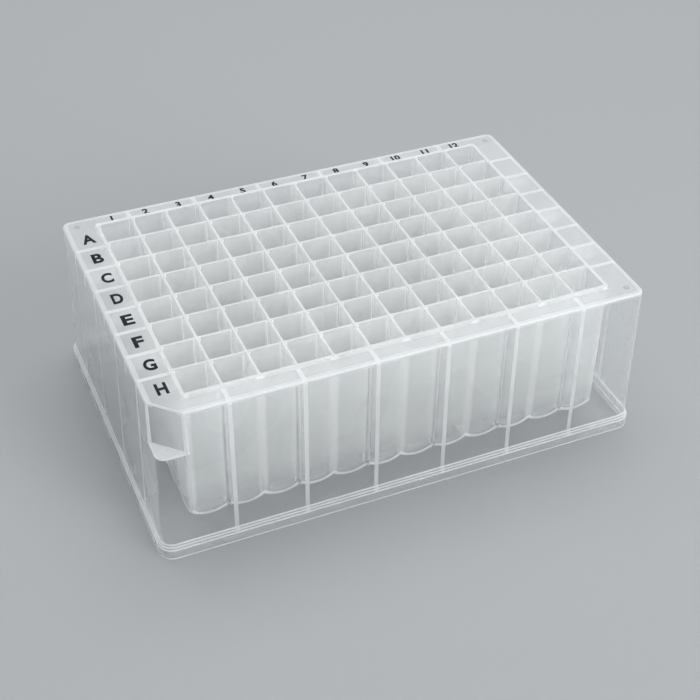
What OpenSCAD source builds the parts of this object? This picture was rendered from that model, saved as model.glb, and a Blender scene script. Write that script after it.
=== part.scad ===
// A 96-well deep-well storage plate: one injection moulding in natural
// polypropylene, with square wells that share their walls, a deck round the
// block of wells and a hollow ribbed skirt that stands on a stepped flange.
//
// X runs along the columns, 1 at -X to 12 at +X. Row A is at +Y and row H
// at -Y. Z is up, and the origin is on the floor under the middle.

/* [Footprint] */
// Length of the flange, which standard plates share
base_l = 127.76; // [124:0.01:134]
// Width of the flange
base_w = 85.48; // [82:0.01:92]
// Corner radius of the flange
base_corner_r = 3.7; // [3.2:0.1:6]

/* [Height] */
// Height of the plate, from the floor to the sealing rim
plate_h = 43.6; // [36:0.1:60]
// How far the block of wells stands above the deck
rim_h = 0.8; // [0.3:0.1:2]

/* [Skirt] */
// Wall of the skirt
skirt_t = 1.2; // [0.8:0.1:1.4]
// Draft of the skirt, in degrees
skirt_draft = 1.2; // [0.3:0.1:1.5]
// How far the flange stands out from the foot of the wall
flange_out = 0.8; // [0.4:0.05:1.2]
// Height of the flange's upright face
flange_h = 2.85; // [1.5:0.05:5]
// Number of small steps between the foot of the wall and that face
flange_steps = 3; // [1:1:4]
// Rise of each of those steps
flange_step_h = 0.68; // [0.3:0.01:1]
// Thickness of the deck
deck_t = 1; // [0.6:0.1:1.6]
// Round along the deck's outer edge
deck_edge_r = 0.5; // [0.2:0.05:0.7]

/* [Wells] */
// Number of columns of wells
well_cols = 12; // [6:1:12]
// Number of rows of wells
well_rows = 8; // [4:1:8]
// Width of a well
well_w = 8.2; // [7:0.1:8.4]
// Wall between two wells. With a well it makes the pitch, 9 mm on standard plates
well_wall_t = 0.8; // [0.6:0.05:1]
// Radius of a well's upright corners
well_corner_r = 0.3; // [0.3:0.1:2]
// Radius of the dome that closes a well
well_dome_r = 8.5; // [7.5:0.1:12]
// Thickness of that dome
well_floor_t = 0.9; // [0.6:0.1:1.5]
// Height of the domes' lowest points above the floor
well_clear = 3.9; // [3.2:0.1:8]
// Wall round the outside of the block
block_t = 0.9; // [0.6:0.1:1.4]

/* [Ribs] */
// Thickness of the ribs between block and skirt
rib_t = 1; // [0.6:0.1:1.6]
// Height of the full ribs' lower edges above the floor
rib_clear = 2.6; // [2:0.1:6]
// Depth of the short ribs below the deck
short_rib_h = 3; // [1:0.1:8]

/* [Corner notch] */
// How far the notch at well H1 reaches along each edge of the deck
notch_leg = 6.7; // [5:0.1:8]
// Depth of the notch below the deck
notch_h = 12; // [4:0.5:20]

/* [Ejector pins] */
// Diameter of the pins' marks
pin_d = 1.8; // [1:0.1:3]
// Depth of the marks
pin_depth = 0.15; // [0.05:0.05:0.3]
// Distance of the marks from the edges of the deck
pin_inset = 3.4; // [2.5:0.1:4.5]

/* [Hidden] */
$fn = 48;
over = 0.3;          // how far one feature runs into the next
more = 1;            // how far a cut runs past the material

deck_z = plate_h - rim_h;
foot_z = flange_h + (flange_steps - 1) * flange_step_h;
foot_out = (deck_z - foot_z) * tan(skirt_draft);
edge_x = base_l / 2 - flange_out - foot_out;
edge_y = base_w / 2 - flange_out - foot_out;
edge_r = base_corner_r - flange_out - foot_out;

well_pitch = well_w + well_wall_t;
block_x = (well_cols - 1) * well_pitch / 2 + well_w / 2 + block_t;
block_y = (well_rows - 1) * well_pitch / 2 + well_w / 2 + block_t;
block_corner_r = well_corner_r + block_t / 2;
dome_z = well_clear + well_floor_t + well_dome_r;
dome_outer_r = well_dome_r + well_floor_t;
// The domes end at the height where a corner one meets the block's corner
corner_reach = (well_w / 2 + block_t) * sqrt(2);
dome_top_z = dome_z - sqrt(pow(dome_outer_r, 2) - pow(corner_reach, 2));
notch_z = deck_z - notch_h;

// How far the skirt's outer face stands outside the deck's edge at a height
function skirt_out(z) = (deck_z - z) * tan(skirt_draft);

// Where column boundary i and row boundary j lie
function col_line(i) = (i - well_cols / 2) * well_pitch;
function row_line(j) = (well_rows / 2 - j) * well_pitch;

// The corners of the flange's steps, from the wall outwards
function steps(out, z) = [for (i = [0:flange_steps - 1])
    for (end = [0, 1])
        [out + (i + end) * flange_out / flange_steps, z - i * flange_step_h]];

function reversed(list) = [for (i = [len(list) - 1:-1:0]) list[i]];

module rounded_plan(x, y, r) {
    square([2 * (x - r), 2 * y], center = true);
    square([2 * x, 2 * (y - r)], center = true);
    for (sx = [-1, 1])
        for (sy = [-1, 1])
            translate([sx * (x - r), sy * (y - r)])
                circle(r);
}

// The skirt's section, with x outwards from the edge of the deck
module skirt_section() {
    foot = foot_out + flange_out;
    polygon(concat(
        [[-skirt_t, deck_z], [-deck_edge_r, deck_z], [0, deck_z - deck_edge_r]],
        steps(foot_out, foot_z), [[foot, 0], [foot - skirt_t, 0]],
        reversed(steps(foot_out - skirt_t, foot_z - skirt_t))));
    translate([-deck_edge_r, deck_z - deck_edge_r])
        intersection() {
            circle(deck_edge_r);
            square(deck_edge_r);
        }
}

module upright_side(length) {
    rotate([90, 0, 0])
        linear_extrude(length, center = true)
            skirt_section();
}

module skirt() {
    for (s = [0, 180])
        rotate(s) {
            translate([edge_x, 0, 0])
                upright_side(2 * (edge_y - edge_r));
            translate([0, edge_y, 0])
                rotate(90)
                    upright_side(2 * (edge_x - edge_r));
        }
    for (s = [0:3])
        translate([(s == 0 || s == 3 ? 1 : -1) * (edge_x - edge_r),
                   (s < 2 ? 1 : -1) * (edge_y - edge_r), 0])
            rotate(90 * s)
                rotate_extrude(angle = 90)
                    translate([edge_r, 0])
                        skirt_section();
}

module deck() {
    mid = skirt_t / 2;
    translate([0, 0, deck_z - deck_t])
        linear_extrude(deck_t)
            rounded_plan(edge_x - mid, edge_y - mid, edge_r - mid);
}

module at_wells() {
    for (i = [0:well_cols - 1])
        for (j = [0:well_rows - 1])
            translate([(col_line(i) + col_line(i + 1)) / 2,
                       (row_line(j) + row_line(j + 1)) / 2, 0])
                children();
}

// The part of a sphere that lies in a square of a width and below a height.
// The sphere's poles are turned to the sides, away from what is left of it.
module dome(r, width, top) {
    intersection() {
        translate([0, 0, dome_z])
            rotate([90, 0, 0])
                sphere(r);
        linear_extrude(top)
            square(width, center = true);
    }
}

module block_prism(bottom, top) {
    translate([0, 0, bottom])
        linear_extrude(top - bottom)
            rounded_plan(block_x, block_y, block_corner_r);
}

// The block that the wells are cut into, scalloped underneath by the domes
module block() {
    block_prism(dome_top_z, plate_h);
    intersection() {
        block_prism(0, dome_top_z + over);
        union()
            at_wells()
                dome(dome_outer_r, 2 * dome_outer_r, dome_top_z + over);
    }
}

// The wells are square with round corners above the domes, and square inside
// them.
module well_shafts() {
    translate([0, 0, dome_top_z])
        linear_extrude(plate_h)
            at_wells()
                rounded_plan(well_w / 2, well_w / 2, well_corner_r);
}

module well_bottoms() {
    at_wells()
        dome(well_dome_r, well_w, dome_top_z);
}

// A rib that stands between the block and the skirt, down to a height. Its
// section has x outwards from the middle of the plate; block and edge are
// where the block and the deck end on that side.
module rib(block, edge, low) {
    wall = edge - skirt_t + over;
    bend = max(low, foot_z);
    rotate([90, 0, 0])
        linear_extrude(rib_t, center = true)
            polygon(concat(
                [[block - over, low], [block - over, deck_z - over],
                 [wall, deck_z - over], [wall + skirt_out(bend), bend]],
                low < bend ? [[wall + foot_out + flange_out, low]] : []));
}

// Every second boundary between columns has a rib at the front and at the
// back. Every boundary between rows has one at both ends, in turn full and
// short.
module ribs() {
    short_z = deck_z - deck_t - short_rib_h;
    for (side = [0, 180])
        rotate(side) {
            for (i = [1:2:well_cols - 1])
                translate([col_line(i), 0, 0])
                    rotate(90)
                        rib(block_y, edge_y, rib_clear);
            for (j = [1:well_rows - 1])
                translate([0, row_line(j), 0])
                    rib(block_x, edge_x, j % 2 == 1 ? rib_clear : short_z);
        }
}

// What lies outside the notch's face, moved inwards by a distance along the
// edges of the deck
module notch_plan(shift) {
    translate([-edge_x, -edge_y])
        polygon([[-more, -more], [notch_leg + more + shift, -more],
                 [-more, notch_leg + more + shift]]);
}

module notch_cut() {
    translate([0, 0, notch_z])
        linear_extrude(plate_h)
            notch_plan(0);
}

// The face and the ledge that close the skirt at the notch
module notch_walls() {
    mid = skirt_t / 2;
    low = notch_z - skirt_t;
    inner = skirt_t * sqrt(2);
    intersection() {
        translate([0, 0, low])
            linear_extrude(notch_h + skirt_t)
                rounded_plan(edge_x - mid, edge_y - mid, edge_r - mid);
        union() {
            translate([0, 0, low])
                linear_extrude(skirt_t)
                    notch_plan(inner);
            translate([0, 0, low])
                linear_extrude(plate_h)
                    difference() {
                        notch_plan(inner);
                        notch_plan(0);
                    }
        }
    }
}

module pin_mark(x, y, z) {
    translate([x, y, z - pin_depth])
        cylinder(h = pin_depth + more, d = pin_d);
}

// One mark at each corner of the deck, or in the middle of the notch's ledge
module pin_marks() {
    x = edge_x - pin_inset;
    y = edge_y - pin_inset;
    pin_mark(-x, y, deck_z);
    pin_mark(x, y, deck_z);
    pin_mark(x, -y, deck_z);
    pin_mark(-edge_x + notch_leg / 3, -edge_y + notch_leg / 3, notch_z);
}

// The skirt, deck and ribs, open at the notch
module frame() {
    difference() {
        union() {
            skirt();
            deck();
            ribs();
        }
        notch_cut();
    }
}

module well_plate() {
    color("gainsboro")
        difference() {
            union() {
                frame();
                notch_walls();
                block();
            }
            well_shafts();
            well_bottoms();
            pin_marks();
        }
}

well_plate();
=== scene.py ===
"""Looks of the well plate.

Its see-through moulded body, its printed letters and numbers, and a studio stage.
"""

import math

import bmesh
import bpy
from bpy.props import FloatProperty, FloatVectorProperty, IntProperty, PointerProperty
from bpy.types import Operator, Panel, PropertyGroup
from mathutils import Matrix, Vector


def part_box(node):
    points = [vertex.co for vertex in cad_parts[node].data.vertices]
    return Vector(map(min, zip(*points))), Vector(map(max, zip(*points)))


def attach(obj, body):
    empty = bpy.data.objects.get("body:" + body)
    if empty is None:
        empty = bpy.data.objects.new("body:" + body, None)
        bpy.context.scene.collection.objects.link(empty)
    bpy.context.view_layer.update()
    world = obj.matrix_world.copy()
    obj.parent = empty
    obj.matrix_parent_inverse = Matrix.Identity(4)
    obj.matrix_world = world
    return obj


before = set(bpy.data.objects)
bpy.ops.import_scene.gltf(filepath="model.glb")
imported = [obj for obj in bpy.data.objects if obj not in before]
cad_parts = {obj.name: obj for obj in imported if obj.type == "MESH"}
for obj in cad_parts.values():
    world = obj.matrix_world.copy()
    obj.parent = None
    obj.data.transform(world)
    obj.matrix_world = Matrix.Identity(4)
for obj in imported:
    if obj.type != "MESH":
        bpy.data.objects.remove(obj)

bl_info = {
    "name": "Well plate",
    "version": (1, 0, 0),
    "blender": (4, 5, 0),
    "location": "View3D > Sidebar > Well plate",
    "description": "Dresses a moulded 96-well plate in see-through plastic with printed labels",
    "category": "Object",
}

BODY = "well_plate"
MM = 0.001

low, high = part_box(BODY)
RIM_TOP = high[2]

# The masks of the finish. HAIR is how far a mask reaches past a face that it takes in, and SOFT is
# the distance over which a mask fades unless it has a fade of its own.
HAIR = 0.05 * MM
SOFT = 0.1 * MM
SKIN_DEPTH = 0.2 * MM  # below the top of the deck
RIND_DEPTH = 0.1 * MM  # inside the flange's outermost face
# EDGE_BAND, FOOT_BAND, TREAD_BAND and FOLD_BAND mark the edges' bright lines: partly the plastic's
# own haze, partly a painted highlight
EDGE_BAND = 0.4 * MM  # along the edges of the deck, the rim and the notch
FOOT_BAND = 0.35 * MM  # above the floor
TREAD_BAND = 0.2 * MM  # below each of the flange's edges
TREAD_OVER = 0.02 * MM
TREAD_FADE = 0.05 * MM
WALL_BAND = 0.4 * MM  # on the block in front of a wall between wells
WALL_FADE = 3 * WALL_BAND
CORNER_BAND = 0.8 * MM  # in the upright corners of the wells
CORNER_TOP = 0.06 * MM
CORNER_FADE = 0.04 * MM
# CORE_BAND and TOP_DEPTH mark the walls' tops, whose extra haze is in part painted glow
CORE_BAND = 0.2 * MM  # along the middle of the walls' tops
CORE_FADE = 0.15 * MM
TOP_DEPTH = 0.02 * MM
TOP_FADE = 0.01 * MM
FOLD_BAND = 0.25 * MM  # along the folds of the notch
FOLD_DEPTH = 0.5 * MM
SILL_DEPTH = 0.35 * MM
OUTLINE_BAND = 0.6 * MM  # along the outlines of the wells' rounded ends
OUTLINE_FADE = 0.3 * MM
CLEAR_RISE = 3 * MM  # above the middle of those rounds the block is fully hazy
CLEAR_FADE = 10 * MM
CLEAR_SHARE = 0.2  # of the block's haze is left in the rounded ends
MOST_HAZE = 0.95
SLANT_POWER = 3.0  # how late the haze of a slanting face sets in

# The plastic
TINGE = (0.99, 0.995, 0.995, 1.0)  # colour of the light that one face lets through
CLOUD_SCALE = 90.0
CLOUD_SPREAD = 0.04  # how far the tint varies up and down
STREAK_SCALE = 900.0
STREAK_STRETCH = 0.02
STREAK_SPREAD = 0.2  # how much the haze varies in all
BLURRED = 0.55  # share of the light let through that is blurred
MILK_THROUGH = 0.5  # share of the scattered light that goes on through the face
SHINE_SQUARE = 0.04
SHINE_SLANT = 0.5
SHINE_POWER = 5.0
ROUGHNESS_SPREAD = 0.1

# The print. Widths of the bold row letters are in millimetres.
LETTER_WIDTHS = {
    "A": 3.4,
    "B": 2.75,
    "C": 2.85,
    "D": 2.75,
    "E": 2.85,
    "F": 2.6,
    "G": 2.95,
    "H": 2.7,
}
PEN = 0.038  # how much the font's strokes are fattened, as a share of its size
INK_GRAIN = 2500.0
INK_PALE = 2.2  # how much paler the ink's pale specks are
INK_ROUGHNESS = 0.7
INK_IOR = 1.45
INK_SPECULAR = 0.15

# The stage, in metres
FLOOR_SIZE = 3.0
FLOOR_CELLS = 8
FLOOR_GAP = 0.02 * MM
FLOOR_ROUGHNESS = 0.7
LAMP_AIM = (0, 0, 0.02)
KEY_PLACE, KEY_SIZE = (0.05, 0.25, 0.75), (0.8, 0.6)
FILL_PLACE, FILL_SIZE = (0.4, -0.7, 0.4), (0.5, 0.5)
CAMERA_ANGLES = (-23.67, 39.01, 0.99)  # azimuth, elevation and roll, in degrees
CAMERA_TARGET = (1.76 * MM, 0.0, 12.17 * MM)
CAMERA_DISTANCE = 0.36985
CAMERA_CLIP = (0.01, 10.0)
CAMERA_LENS = 71.7  # focal length in millimetres


def length(name, description, default):
    """A property for a length, with its default in millimetres."""
    return FloatProperty(
        name=name,
        description=description,
        subtype="DISTANCE",
        unit="LENGTH",
        default=default * MM,
    )


def power(name, description, default):
    """A property for a lamp's power."""
    return FloatProperty(
        name=name,
        description=description,
        subtype="POWER",
        unit="POWER",
        min=0.0,
        default=default,
    )


def share(name, description, default, most=1.0):
    """A property for a share of the light, or for a roughness."""
    return FloatProperty(
        name=name,
        description=description,
        subtype="FACTOR",
        min=0.0,
        max=most,
        default=default,
    )


def color(name, description, default):
    """A property for a colour."""
    return FloatVectorProperty(
        name=name,
        description=description,
        subtype="COLOR",
        size=3,
        min=0.0,
        max=1.0,
        default=default,
    )


def count(name, description, default):
    """A property for a number of things."""
    return IntProperty(name=name, description=description, min=1, default=default)


class MouldSettings(PropertyGroup):
    """Sizes of the moulding that its finish follows."""

    pitch: length("Pitch", "Distance between neighbouring wells", 9.0)
    columns: count("Columns", "Number of columns of wells", 12)
    rows: count("Rows", "Number of rows of wells", 8)
    block_margin: length("Block margin", "How far the block reaches past the wells' pitch", 0.5)
    rim_height: length("Rim height", "How far the rim stands above the deck", 0.8)
    deck: length("Deck", "Thickness of the deck", 1.0)
    corner: length("Corner", "Corner radius of the flange", 3.7)
    edge_inset: length("Edge inset", "How far the deck's edge lies inside the flange", 1.608)
    skin_inset: length("Skin inset", "How far the skirt's outer face lies inside it, at most", 1.8)
    skirt: length("Skirt", "Thickness of the skirt", 1.2)
    rib: length("Rib", "Thickness of a rib between the block and the skirt", 1.0)
    rib_foot: length("Rib foot", "Height of the ribs' lower edges above the floor", 2.6)
    short_rib: length("Short rib", "Depth of the short ribs below the deck", 3.0)
    notch: length("Notch", "How far the notch reaches along each edge of the deck", 6.7)
    notch_depth: length("Notch depth", "Depth of the corner notch below the deck", 12.0)
    dome: length("Dome", "Outer radius of the wells' rounded ends", 9.4)
    dome_middle: length("Dome middle", "Height of the middle of those rounds", 13.3)
    flange: length("Flange", "Height of the flange's upright face", 2.85)
    flange_step: length("Flange step", "Rise of each step above that face", 0.68)
    flange_steps: count("Flange steps", "Number of steps above that face", 3)


class PlasticSettings(PropertyGroup):
    """The natural, unpigmented plastic of the moulding."""

    tint: color("Tint", "Colour of the light that the plastic scatters", (0.955, 0.96, 0.96))
    haze: share("Haze", "Share of the light that one face scatters, seen square on", 0.13)
    slant_haze: share("Slant haze", "How much more a face scatters when seen edge-on", 0.6)
    block_haze: share("Block haze", "How much more the walls of the block scatter", 0.2)
    deck_haze: share("Deck haze", "How much more the deck scatters over the skirt", 0.25)
    notch_haze: share("Notch haze", "How much more the face of the notch scatters", 0.35)
    rib_haze: share("Rib haze", "How much more a face scatters in front of a rib", 0.5)
    wall_haze: share("Wall haze", "How much more the block scatters in front of a wall", 0.25)
    corner_haze: share("Corner haze", "How much more the corners of the wells scatter", 0.5)
    stub_haze: share("Stub haze", "How much more the short ribs scatter", 0.4)
    # The tops' extra haze is partly the long way light runs down through a wall, partly painted
    # glow
    top_haze_and_glow: share("Top haze", "How much more the tops of the walls scatter", 0.3)
    # The edges' extra haze is in part a painted highlight along the deck's, flange's and notch's
    # edges
    edge_haze_and_highlight: share("Edge haze", "How much more the deck's and flange's edges scatter", 0.85)
    outline_haze: share("Outline haze", "How much more the outlines of the domes scatter", 0.7)
    blur: share("Blur", "Roughness of what is seen through the plastic", 0.06, most=0.15)
    roughness: share("Roughness", "Roughness of the moulded surface", 0.28)
    lamp_share: share("Lamp share", "Share of a lamp's light that passes one face", 0.5)


class PrintSettings(PropertyGroup):
    """The ink letters beside the rows and the numbers behind the columns."""

    ink: color("Ink", "Colour of the printing ink", (0.012, 0.012, 0.014))
    letter_height: length("Letter height", "Height of a row letter", 4.1)
    letter_x: length("Letter line", "Where the middle of the letters lies, lengthwise", -57.6)
    number_height: length("Number height", "Height of a column number", 2.35)
    number_y: length("Number line", "Where the middle of the numbers lies, widthwise", 38.6)
    film: length("Film", "Thickness of the ink", 0.03)


class StageSettings(PropertyGroup):
    """Floor, room light and lamps."""

    floor_color: color("Floor", "Colour of the floor", (0.36, 0.37, 0.38))
    sky_color: color("Room", "Colour of the light from all round", (0.9, 0.92, 0.95))
    sky: FloatProperty(
        name="Room light", description="Strength of the light from all round", min=0.0, default=0.65
    )
    key: power("Key lamp", "Power of the lamp overhead", 3.3)
    fill: power("Fill lamp", "Power of the lamp in front", 4.2)


class WellPlateSettings(PropertyGroup):
    """All settings of the well plate."""

    mould: PointerProperty(type=MouldSettings)
    plastic: PointerProperty(type=PlasticSettings)
    printing: PointerProperty(type=PrintSettings)
    stage: PointerProperty(type=StageSettings)


def node(tree, kind, inputs=None, **values):
    """Adds a shader node and sets its fields and sockets."""
    made = tree.nodes.new(kind)
    for key, value in values.items():
        setattr(made, key, value)
    for key, value in (inputs or {}).items():
        made.inputs[key].default_value = value
    return made


def empty_material(name):
    """Makes a material with nothing in it but its output."""
    made = bpy.data.materials.new(name)
    made.use_nodes = True
    made.node_tree.nodes.clear()
    output = node(made.node_tree, "ShaderNodeOutputMaterial")
    return made, made.node_tree, output


def calc(tree, operation, *terms):
    """Adds a Math node on sockets and numbers, and gives its result."""
    made = node(tree, "ShaderNodeMath", operation=operation)
    for place, term in zip(made.inputs, terms):
        if isinstance(term, bpy.types.NodeSocket):
            tree.links.new(term, place)
        else:
            place.default_value = term
    return made.outputs["Value"]


def distance(tree, *parts):
    """How far a place lies from a point, from how far it lies along X, Y and Z."""
    joined = node(tree, "ShaderNodeCombineXYZ")
    for part, place in zip(parts, joined.inputs):
        tree.links.new(part, place)
    made = node(tree, "ShaderNodeVectorMath", operation="LENGTH")
    tree.links.new(joined.outputs["Vector"], made.inputs[0])
    return made.outputs["Value"]


def below(tree, value, limit, soft=SOFT):
    """A mask: 1 where a value is below a limit, fading to 0 just above it."""
    made = node(
        tree,
        "ShaderNodeMapRange",
        {"From Min": limit + soft, "From Max": limit},
        interpolation_type="SMOOTHSTEP",
    )
    tree.links.new(value, made.inputs["Value"])
    return made.outputs["Result"]


def above(tree, value, limit, soft=SOFT):
    """A mask: 1 where a value is above a limit, fading to 0 just below it."""
    return below(tree, value, limit, -soft)


def all_of(tree, *masks):
    """The place where all masks are 1."""
    made = masks[0]
    for mask in masks[1:]:
        made = calc(tree, "MULTIPLY", made, mask)
    return made


def any_of(tree, *masks):
    """The place where any mask is 1."""
    made = masks[0]
    for mask in masks[1:]:
        made = calc(tree, "MAXIMUM", made, mask)
    return made


def none_of(tree, mask):
    """The place where a mask is 0."""
    return calc(tree, "SUBTRACT", 1.0, mask)


class Spot:
    """Where a spot on the moulding lies, and the masks that several features share."""

    def __init__(self, tree, where, mould):
        split = node(tree, "ShaderNodeSeparateXYZ")
        tree.links.new(where, split.inputs["Vector"])
        self.x, self.y, self.z = (split.outputs[axis] for axis in "XYZ")
        self.far_x, self.far_y = (calc(tree, "ABSOLUTE", value) for value in (self.x, self.y))
        self.deck = RIM_TOP - mould.rim_height
        self.block_x, self.block_y = (
            wells / 2 * mould.pitch + mould.block_margin for wells in (mould.columns, mould.rows)
        )
        # How far it is to the nearest line between columns or rows, and whether that line is an
        # odd one, counted from the middle
        self.line_x, self.line_y = (
            calc(tree, "PINGPONG", value, mould.pitch / 2) for value in (self.x, self.y)
        )
        self.odd_x, self.odd_y = (
            above(tree, calc(tree, "PINGPONG", value, mould.pitch), mould.pitch / 2)
            for value in (self.x, self.y)
        )
        # How far it is from the middle of the well's rounded end
        self.from_dome = distance(
            tree,
            calc(tree, "SUBTRACT", mould.pitch / 2, self.line_x),
            calc(tree, "SUBTRACT", mould.pitch / 2, self.line_y),
            calc(tree, "SUBTRACT", self.z, mould.dome_middle),
        )
        self.inside = all_of(
            tree,
            below(tree, self.far_x, self.block_x + HAIR, HAIR),
            below(tree, self.far_y, self.block_y + HAIR, HAIR),
            any_of(
                tree,
                above(tree, self.z, mould.dome_middle),
                below(tree, self.from_dome, mould.dome + HAIR, HAIR),
            ),
        )
        self.outside = none_of(tree, self.inside)
        self.face_x = above(tree, self.far_x, self.block_x - HAIR, HAIR)
        self.face_y = above(tree, self.far_y, self.block_y - HAIR, HAIR)
        self.faces = any_of(tree, self.face_x, self.face_y)
        # How far it is outwards from where the flange's corners are drawn round
        self.outward = distance(
            tree,
            *(
                calc(tree, "MAXIMUM", calc(tree, "SUBTRACT", far, most - mould.corner), 0.0)
                for far, most in ((self.far_x, high[0]), (self.far_y, high[1]))
            ),
        )
        deck_edge = mould.corner - mould.edge_inset
        self.edge = above(tree, self.outward, deck_edge - EDGE_BAND)
        self.over_wall = above(tree, self.outward, deck_edge - mould.skirt, HAIR)
        self.skin = any_of(
            tree,
            above(tree, self.outward, mould.corner - mould.skin_inset, HAIR),
            above(tree, self.z, self.deck - SKIN_DEPTH, HAIR),
        )


def rib_masks(tree, spot, mould):
    """Masks of the skirt in front of the ribs, and of the short ribs below the deck.

    Behind the front and the back a rib stands at every second line between columns. At the ends
    one stands at every line between rows, in turn full and short.
    """
    half = mould.rib / 2
    short = spot.deck - mould.deck - mould.short_rib
    within = below(tree, spot.far_y, spot.block_y - mould.pitch / 2)
    full = any_of(tree, spot.odd_y, above(tree, spot.z, short))
    on_x = all_of(
        tree, below(tree, spot.line_x, half), spot.odd_x, below(tree, spot.far_x, spot.block_x)
    )
    on_y = all_of(tree, below(tree, spot.line_y, half), full, within)
    ribs = all_of(
        tree,
        any_of(tree, on_x, on_y),
        spot.outside,
        spot.skin,
        above(tree, spot.z, mould.rib_foot),
    )
    stubs = all_of(
        tree,
        above(tree, spot.z, short - HAIR, HAIR),
        below(tree, spot.line_y, half + HAIR, HAIR),
        none_of(tree, spot.odd_y),
        within,
        above(tree, spot.far_x, spot.block_x + 2 * HAIR, HAIR),
    )
    return ribs, stubs


def wall_masks(tree, spot, mould):
    """Masks of the walls between wells.

    They show as soft upright bands on the outside of the block, as lines in the wells' corners
    and along their tops. The lines along the tops and the rim are in part painted glow.
    """
    bands = any_of(
        tree,
        all_of(
            tree,
            below(tree, spot.line_x, WALL_BAND, WALL_FADE),
            none_of(tree, spot.odd_x),
            spot.face_y,
        ),
        all_of(tree, below(tree, spot.line_y, WALL_BAND, WALL_FADE), spot.face_x),
    )
    lines = (spot.line_x, spot.line_y)
    corners = all_of(
        tree,
        *(below(tree, line, CORNER_BAND) for line in lines),
        below(tree, spot.z, RIM_TOP - CORNER_TOP, CORNER_FADE),
        spot.inside,
        none_of(tree, spot.faces),
    )
    rim_inset = mould.block_margin + EDGE_BAND
    core = any_of(
        tree,
        *(below(tree, line, CORE_BAND, CORE_FADE) for line in lines),
        above(tree, spot.far_x, spot.block_x - rim_inset),
        above(tree, spot.far_y, spot.block_y - rim_inset),
    )
    tops = all_of(tree, above(tree, spot.z, RIM_TOP - TOP_DEPTH, TOP_FADE), core)
    rim = all_of(tree, above(tree, spot.z, spot.deck, HAIR), spot.faces)
    return all_of(tree, bands, spot.inside), corners, any_of(tree, tops, rim)


def dome_masks(tree, spot, mould):
    """Masks of the block, clearer in the wells' rounded ends, and of the outlines of those."""
    raised = above(tree, spot.z, mould.dome_middle + CLEAR_RISE, CLEAR_FADE)
    block = all_of(
        tree, spot.inside, calc(tree, "MULTIPLY_ADD", raised, 1 - CLEAR_SHARE, CLEAR_SHARE)
    )
    # A well's middle lies half a pitch and the margin from the block's outer faces, and the
    # distance to the nearest line folds that to half a pitch less the margin
    near, far = (mould.pitch / 2 + side * mould.block_margin for side in (-1, 1))
    brim = math.sqrt(mould.dome**2 - far**2 + near**2)
    outline = all_of(
        tree,
        above(tree, spot.from_dome, brim - OUTLINE_BAND, OUTLINE_FADE),
        below(tree, spot.z, mould.dome_middle),
        spot.faces,
        spot.inside,
    )
    return block, outline


def edge_masks(tree, spot, mould):
    """Masks of the deck where the skirt carries it, and of the deck's and flange's edges (painted
    highlight).
    """
    shelf = all_of(
        tree, above(tree, spot.z, spot.deck - mould.deck, HAIR), spot.outside, spot.over_wall
    )
    lip = all_of(tree, spot.edge, above(tree, spot.z, spot.deck - EDGE_BAND))
    rind = above(tree, spot.outward, mould.corner - RIND_DEPTH, HAIR)
    foot = all_of(tree, below(tree, spot.z, FOOT_BAND), rind)
    rises = (mould.flange + step * mould.flange_step for step in range(mould.flange_steps))
    treads = any_of(
        tree,
        *(
            all_of(
                tree,
                above(tree, spot.z, rise - TREAD_BAND),
                below(tree, spot.z, rise + TREAD_OVER, TREAD_FADE),
            )
            for rise in rises
        ),
    )
    return shelf, any_of(tree, lip, foot, all_of(tree, treads, spot.skin))


def notch_masks(tree, spot, mould):
    """Masks of the notch's folds, which get a painted highlight, and of its face. It cuts the
    corner where x and y are lowest.
    """
    reach = high[0] + high[1] - 2 * mould.edge_inset
    across = calc(tree, "ADD", calc(tree, "ADD", spot.x, spot.y), reach)
    ledge = spot.deck - mould.notch_depth
    from_face = calc(tree, "ABSOLUTE", calc(tree, "SUBTRACT", across, mould.notch))
    from_ledge = calc(tree, "ABSOLUTE", calc(tree, "SUBTRACT", spot.z, ledge))
    upper = any_of(tree, spot.edge, above(tree, spot.z, spot.deck - FOLD_DEPTH))
    folds = all_of(
        tree,
        any_of(
            tree,
            all_of(tree, below(tree, from_face, FOLD_BAND), upper),
            below(tree, from_ledge, FOLD_BAND),
        ),
        below(tree, across, mould.notch + EDGE_BAND),
        above(tree, spot.z, ledge - SILL_DEPTH),
    )
    face = all_of(tree, below(tree, from_face, HAIR, HAIR), above(tree, spot.z, ledge))
    return folds, face


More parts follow.
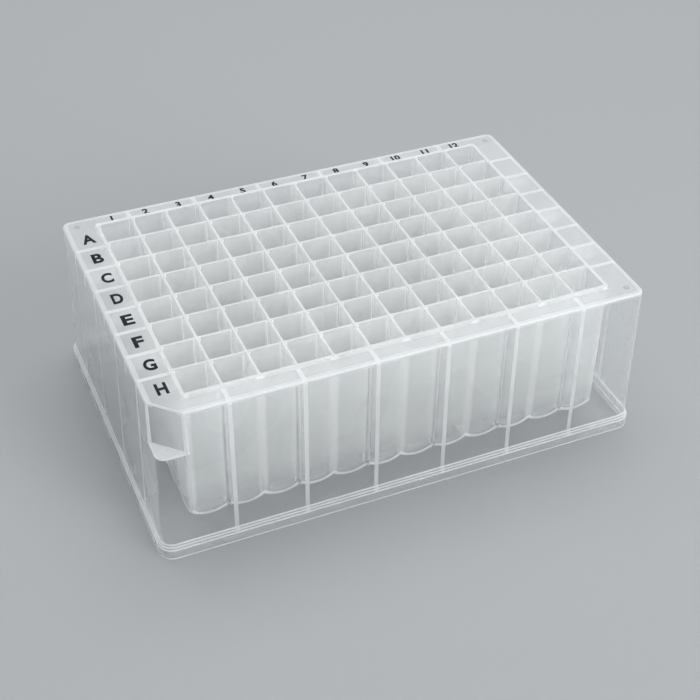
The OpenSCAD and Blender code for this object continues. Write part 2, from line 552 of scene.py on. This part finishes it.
def haze_of(tree, where, streak, facing, plastic, mould):
    """The share of light that a face scatters, and whether the face is seen at all.

    A face scatters more where light is led along inside the plastic. On the walls' tops and along
    the edges that extra scatter is in part painted glow and painted highlight. Faces that lie
    behind the skin of the skirt, such as the ribs' sides, stay clear.
    """
    spot = Spot(tree, where, mould)
    ribs, stubs = rib_masks(tree, spot, mould)
    walls, corners, tops = wall_masks(tree, spot, mould)
    block, outline = dome_masks(tree, spot, mould)
    shelf, edges = edge_masks(tree, spot, mould)
    folds, face = notch_masks(tree, spot, mould)

    seen = any_of(tree, spot.inside, spot.skin)
    slant = all_of(tree, calc(tree, "POWER", facing, SLANT_POWER), seen)
    least = plastic.haze * (1 - STREAK_SPREAD / 2)
    base = calc(tree, "MULTIPLY_ADD", streak, plastic.haze * STREAK_SPREAD, least)
    haze = all_of(tree, base, seen)
    for mask, more in (
        (slant, plastic.slant_haze),
        (block, plastic.block_haze),
        (outline, plastic.outline_haze),
        (shelf, plastic.deck_haze),
        (face, plastic.notch_haze),
        (ribs, plastic.rib_haze),
        (walls, plastic.wall_haze),
        (corners, plastic.corner_haze),
        (stubs, plastic.stub_haze),
        # Tops of the walls and the rim: partly thick plastic, partly painted glow
        (tops, plastic.top_haze_and_glow),
        # Edges and folds: partly the plastic's haze, partly a painted highlight
        (any_of(tree, edges, folds), plastic.edge_haze_and_highlight),
    ):
        haze = calc(tree, "MULTIPLY_ADD", mask, more, haze)
    return calc(tree, "MINIMUM", haze, MOST_HAZE), seen


def mix(tree, amount, first, second):
    """Mixes two shaders by a socket or a number, 0 for the first and 1 for the second."""
    made = node(tree, "ShaderNodeMixShader")
    if isinstance(amount, bpy.types.NodeSocket):
        tree.links.new(amount, made.inputs["Fac"])
    else:
        made.inputs["Fac"].default_value = amount
    tree.links.new(first, made.inputs[1])
    tree.links.new(second, made.inputs[2])
    return made.outputs["Shader"]


def natural_plastic(plastic, mould):
    """Milky see-through plastic: each face scatters some light and lets the rest pass."""
    made, tree, output = empty_material("natural_polypropylene")
    link = tree.links.new
    where = node(tree, "ShaderNodeTexCoord").outputs["Object"]

    cloud = node(tree, "ShaderNodeTexNoise", {"Scale": CLOUD_SCALE, "Detail": 0.0})
    link(where, cloud.inputs["Vector"])
    tone = node(tree, "ShaderNodeMix", data_type="RGBA")
    for socket, spread in (("A", -CLOUD_SPREAD), ("B", CLOUD_SPREAD)):
        tint = [min(1.0, part * (1 + spread)) for part in plastic.tint]
        tone.inputs[socket].default_value = [*tint, 1.0]
    link(cloud.outputs["Fac"], tone.inputs["Factor"])
    diffuse = node(tree, "ShaderNodeBsdfDiffuse")
    through = node(tree, "ShaderNodeBsdfTranslucent")
    for scatter in (diffuse, through):
        link(tone.outputs["Result"], scatter.inputs["Color"])
    milk = mix(tree, MILK_THROUGH, diffuse.outputs["BSDF"], through.outputs["BSDF"])

    # Fine upright streaks are the polish of the mould
    stretch = node(tree, "ShaderNodeMapping", {"Scale": (1.0, 1.0, STREAK_STRETCH)})
    link(where, stretch.inputs["Vector"])
    streak = node(tree, "ShaderNodeTexNoise", {"Scale": STREAK_SCALE, "Detail": 0.0})
    link(stretch.outputs["Vector"], streak.inputs["Vector"])
    facing = node(tree, "ShaderNodeLayerWeight", {"Blend": 0.5}).outputs["Facing"]
    haze, seen = haze_of(tree, where, streak.outputs["Fac"], facing, plastic, mould)

    straight = node(tree, "ShaderNodeBsdfTransparent", {"Color": TINGE})
    blurred = node(
        tree,
        "ShaderNodeBsdfRefraction",
        {"Color": TINGE, "IOR": 1.0, "Roughness": plastic.blur},
    )
    clear = mix(tree, BLURRED, straight.outputs["BSDF"], blurred.outputs["BSDF"])
    body = mix(tree, haze, clear, milk)

    slant = calc(tree, "POWER", facing, SHINE_POWER)
    shine = all_of(tree, calc(tree, "MULTIPLY_ADD", slant, SHINE_SLANT, SHINE_SQUARE), seen)
    gloss = node(tree, "ShaderNodeBsdfGlossy")
    least = plastic.roughness - ROUGHNESS_SPREAD / 2
    roughness = calc(tree, "MULTIPLY_ADD", cloud.outputs["Fac"], ROUGHNESS_SPREAD, least)
    link(roughness, gloss.inputs["Roughness"])
    coat = mix(tree, shine, body, gloss.outputs["BSDF"])

    # Lamps shine through each face by the same share, which keeps the deep wells lit
    ray = node(tree, "ShaderNodeLightPath")
    lamp_color = (*[plastic.lamp_share] * 3, 1.0)
    lamplight = node(tree, "ShaderNodeBsdfTransparent", {"Color": lamp_color})
    finish = mix(tree, ray.outputs["Is Shadow Ray"], coat, lamplight.outputs["BSDF"])
    link(finish, output.inputs["Surface"])
    return made


def printing_ink(settings):
    """Matt black pad-printing ink."""
    made, tree, output = empty_material("printing_ink")
    link = tree.links.new
    where = node(tree, "ShaderNodeTexCoord")
    grain = node(tree, "ShaderNodeTexNoise", {"Scale": INK_GRAIN, "Detail": 2.0})
    link(where.outputs["Object"], grain.inputs["Vector"])
    tone = node(tree, "ShaderNodeMix", data_type="RGBA")
    tone.inputs["A"].default_value = [*settings.ink, 1.0]
    tone.inputs["B"].default_value = [*(part * INK_PALE for part in settings.ink), 1.0]
    link(grain.outputs["Fac"], tone.inputs["Factor"])
    shader = node(
        tree,
        "ShaderNodeBsdfPrincipled",
        {"Roughness": INK_ROUGHNESS, "IOR": INK_IOR, "Specular IOR Level": INK_SPECULAR},
    )
    link(tone.outputs["Result"], shader.inputs["Base Color"])
    link(shader.outputs["BSDF"], output.inputs["Surface"])
    return made


def text_mesh(word, height, width=None):
    """Makes a flat word in the XY plane with its middle on the origin.

    It has a height and, where one is given, a width.
    """
    curve = bpy.data.curves.new("word", "FONT")
    turned = word == "6"  # fattening breaks the outline of a 6, so it is a 9 turned round
    curve.body = "9" if turned else word
    curve.align_x = "CENTER"
    curve.size = 1.0
    curve.offset = PEN
    curve.fill_mode = "BOTH"
    holder = bpy.data.objects.new("word", curve)
    bpy.context.scene.collection.objects.link(holder)
    depsgraph = bpy.context.evaluated_depsgraph_get()
    mesh = bpy.data.meshes.new_from_object(holder.evaluated_get(depsgraph))
    bpy.data.objects.remove(holder)
    bpy.data.curves.remove(curve)
    xs = [vertex.co.x for vertex in mesh.vertices]
    ys = [vertex.co.y for vertex in mesh.vertices]
    middle = Vector(((min(xs) + max(xs)) / 2, (min(ys) + max(ys)) / 2, 0))
    tall = height / (max(ys) - min(ys))
    wide = width / (max(xs) - min(xs)) if width else tall
    mesh.transform(Matrix.Diagonal((wide, tall, 1.0, 1.0)) @ Matrix.Translation(-middle))
    if turned:
        mesh.transform(Matrix.Rotation(math.pi, 4, "Z"))
    return mesh


def print_words(name, words, height, deck, film, material):
    """Prints a list of (word, width or None, x, y) on the deck as one piece."""
    bm = bmesh.new()
    for word, width, x, y in words:
        mesh = text_mesh(word, height, width)
        mesh.transform(Matrix.Translation((x, y, deck)))
        bm.from_mesh(mesh)
        bpy.data.meshes.remove(mesh)
    bmesh.ops.remove_doubles(bm, verts=bm.verts, dist=film / 10)
    faces = bmesh.ops.extrude_face_region(bm, geom=bm.faces[:])
    lifted = [part for part in faces["geom"] if isinstance(part, bmesh.types.BMVert)]
    bmesh.ops.translate(bm, verts=lifted, vec=(0, 0, film))
    bmesh.ops.recalc_face_normals(bm, faces=bm.faces)
    made = bpy.data.meshes.new(name)
    bm.to_mesh(made)
    bm.free()
    made.materials.append(material)
    piece = bpy.data.objects.new(name, made)
    bpy.context.scene.collection.objects.link(piece)
    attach(piece, "root")


def build_floor(paint_color):
    """Lays the plain floor just below the plate."""
    bm = bmesh.new()
    bmesh.ops.create_grid(bm, x_segments=FLOOR_CELLS, y_segments=FLOOR_CELLS, size=FLOOR_SIZE)
    bmesh.ops.translate(bm, verts=bm.verts, vec=(0, 0, low[2] - FLOOR_GAP))
    mesh = bpy.data.meshes.new("floor")
    bm.to_mesh(mesh)
    bm.free()
    material, tree, output = empty_material("floor_paint")
    paint = node(
        tree,
        "ShaderNodeBsdfPrincipled",
        {"Base Color": (*paint_color, 1.0), "Roughness": FLOOR_ROUGHNESS},
    )
    tree.links.new(paint.outputs["BSDF"], output.inputs["Surface"])
    mesh.materials.append(material)
    floor = bpy.data.objects.new("floor", mesh)
    bpy.context.scene.collection.objects.link(floor)


def light_room(scene, light_color, strength):
    """Lights the scene evenly from all round."""
    world = bpy.data.worlds.new("room")
    world.use_nodes = True
    sky = world.node_tree.nodes["Background"]
    sky.inputs["Color"].default_value = (*light_color, 1.0)
    sky.inputs["Strength"].default_value = strength
    scene.world = world


def hang_lamp(scene, name, place, size, watts):
    """Hangs a soft rectangular lamp that shines on the plate."""
    light = bpy.data.lights.new(name, "AREA")
    light.shape = "RECTANGLE"
    light.size, light.size_y = size
    light.energy = watts
    made = bpy.data.objects.new(name, light)
    made.location = place
    beam = Vector(LAMP_AIM) - Vector(place)
    made.rotation_euler = beam.to_track_quat("-Z", "Y").to_euler()
    scene.collection.objects.link(made)


def place_camera(scene):
    """Places the camera at its distance from the plate, turned to its angles."""
    azimuth, elevation, roll = (math.radians(angle) for angle in CAMERA_ANGLES)
    away = Vector(
        (
            math.sin(azimuth) * math.cos(elevation),
            -math.cos(azimuth) * math.cos(elevation),
            math.sin(elevation),
        )
    )
    right = Vector((math.cos(azimuth), math.sin(azimuth), 0.0))
    level = Matrix((right, away.cross(right), away)).transposed()
    turned = level @ Matrix.Rotation(roll, 3, "Z")
    camera = bpy.data.cameras.new("camera")
    camera.lens = CAMERA_LENS
    camera.clip_start, camera.clip_end = CAMERA_CLIP
    made = bpy.data.objects.new("camera", camera)
    eye = Vector(CAMERA_TARGET) + away * CAMERA_DISTANCE
    made.matrix_world = Matrix.Translation(eye) @ turned.to_4x4()
    scene.collection.objects.link(made)
    scene.camera = made


class WELLPLATE_OT_plastic(Operator):
    """Gives the moulded body its see-through plastic"""

    bl_idname = "well_plate.plastic"
    bl_label = "Moulded body"

    def execute(self, context):
        settings = context.scene.well_plate
        material = natural_plastic(settings.plastic, settings.mould)
        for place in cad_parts[BODY].material_slots:
            place.material = material
        return {"FINISHED"}


class WELLPLATE_OT_letters(Operator):
    """Prints the row letters and column numbers"""

    bl_idname = "well_plate.letters"
    bl_label = "Letters and numbers"

    def execute(self, context):
        mould = context.scene.well_plate.mould
        settings = context.scene.well_plate.printing
        ink = printing_ink(settings)
        deck = RIM_TOP - mould.rim_height
        middle_row, middle_column = (mould.rows - 1) / 2, (mould.columns - 1) / 2
        rows = [
            (
                letter,
                LETTER_WIDTHS[letter] * MM,
                settings.letter_x,
                (middle_row - i) * mould.pitch,
            )
            for i, letter in enumerate(sorted(LETTER_WIDTHS)[: mould.rows])
        ]
        columns = [
            (str(i + 1), None, (i - middle_column) * mould.pitch, settings.number_y)
            for i in range(mould.columns)
        ]
        for name, words, height in (
            ("row_letters", rows, settings.letter_height),
            ("column_numbers", columns, settings.number_height),
        ):
            print_words(name, words, height, deck, settings.film, ink)
        return {"FINISHED"}


class WELLPLATE_OT_stage(Operator):
    """Builds the floor, the lamps and the camera"""

    bl_idname = "well_plate.stage"
    bl_label = "Stage"

    def execute(self, context):
        scene = context.scene
        settings = scene.well_plate.stage
        build_floor(settings.floor_color)
        light_room(scene, settings.sky_color, settings.sky)
        hang_lamp(scene, "key", KEY_PLACE, KEY_SIZE, settings.key)
        hang_lamp(scene, "fill", FILL_PLACE, FILL_SIZE, settings.fill)
        place_camera(scene)
        scene.view_settings.view_transform = "Standard"
        return {"FINISHED"}


class WELLPLATE_PT_panel(Panel):
    """Lists what the well plate is made of"""

    bl_label = "Well plate"
    bl_idname = "WELLPLATE_PT_panel"
    bl_space_type = "VIEW_3D"
    bl_region_type = "UI"
    bl_category = "Well plate"

    def draw(self, context):
        for operator in OPERATORS:
            self.layout.operator(operator.bl_idname)


OPERATORS = (WELLPLATE_OT_plastic, WELLPLATE_OT_letters, WELLPLATE_OT_stage)
CLASSES = (
    MouldSettings,
    PlasticSettings,
    PrintSettings,
    StageSettings,
    WellPlateSettings,
    *OPERATORS,
    WELLPLATE_PT_panel,
)


def register():
    for each in CLASSES:
        bpy.utils.register_class(each)
    bpy.types.Scene.well_plate = PointerProperty(type=WellPlateSettings)


def unregister():
    del bpy.types.Scene.well_plate
    for each in reversed(CLASSES):
        bpy.utils.unregister_class(each)


def main():
    """Builds the whole scene."""
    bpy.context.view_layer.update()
    register()
    bpy.ops.well_plate.plastic()
    bpy.ops.well_plate.letters()
    bpy.ops.well_plate.stage()


if __name__ == "__main__":
    main()
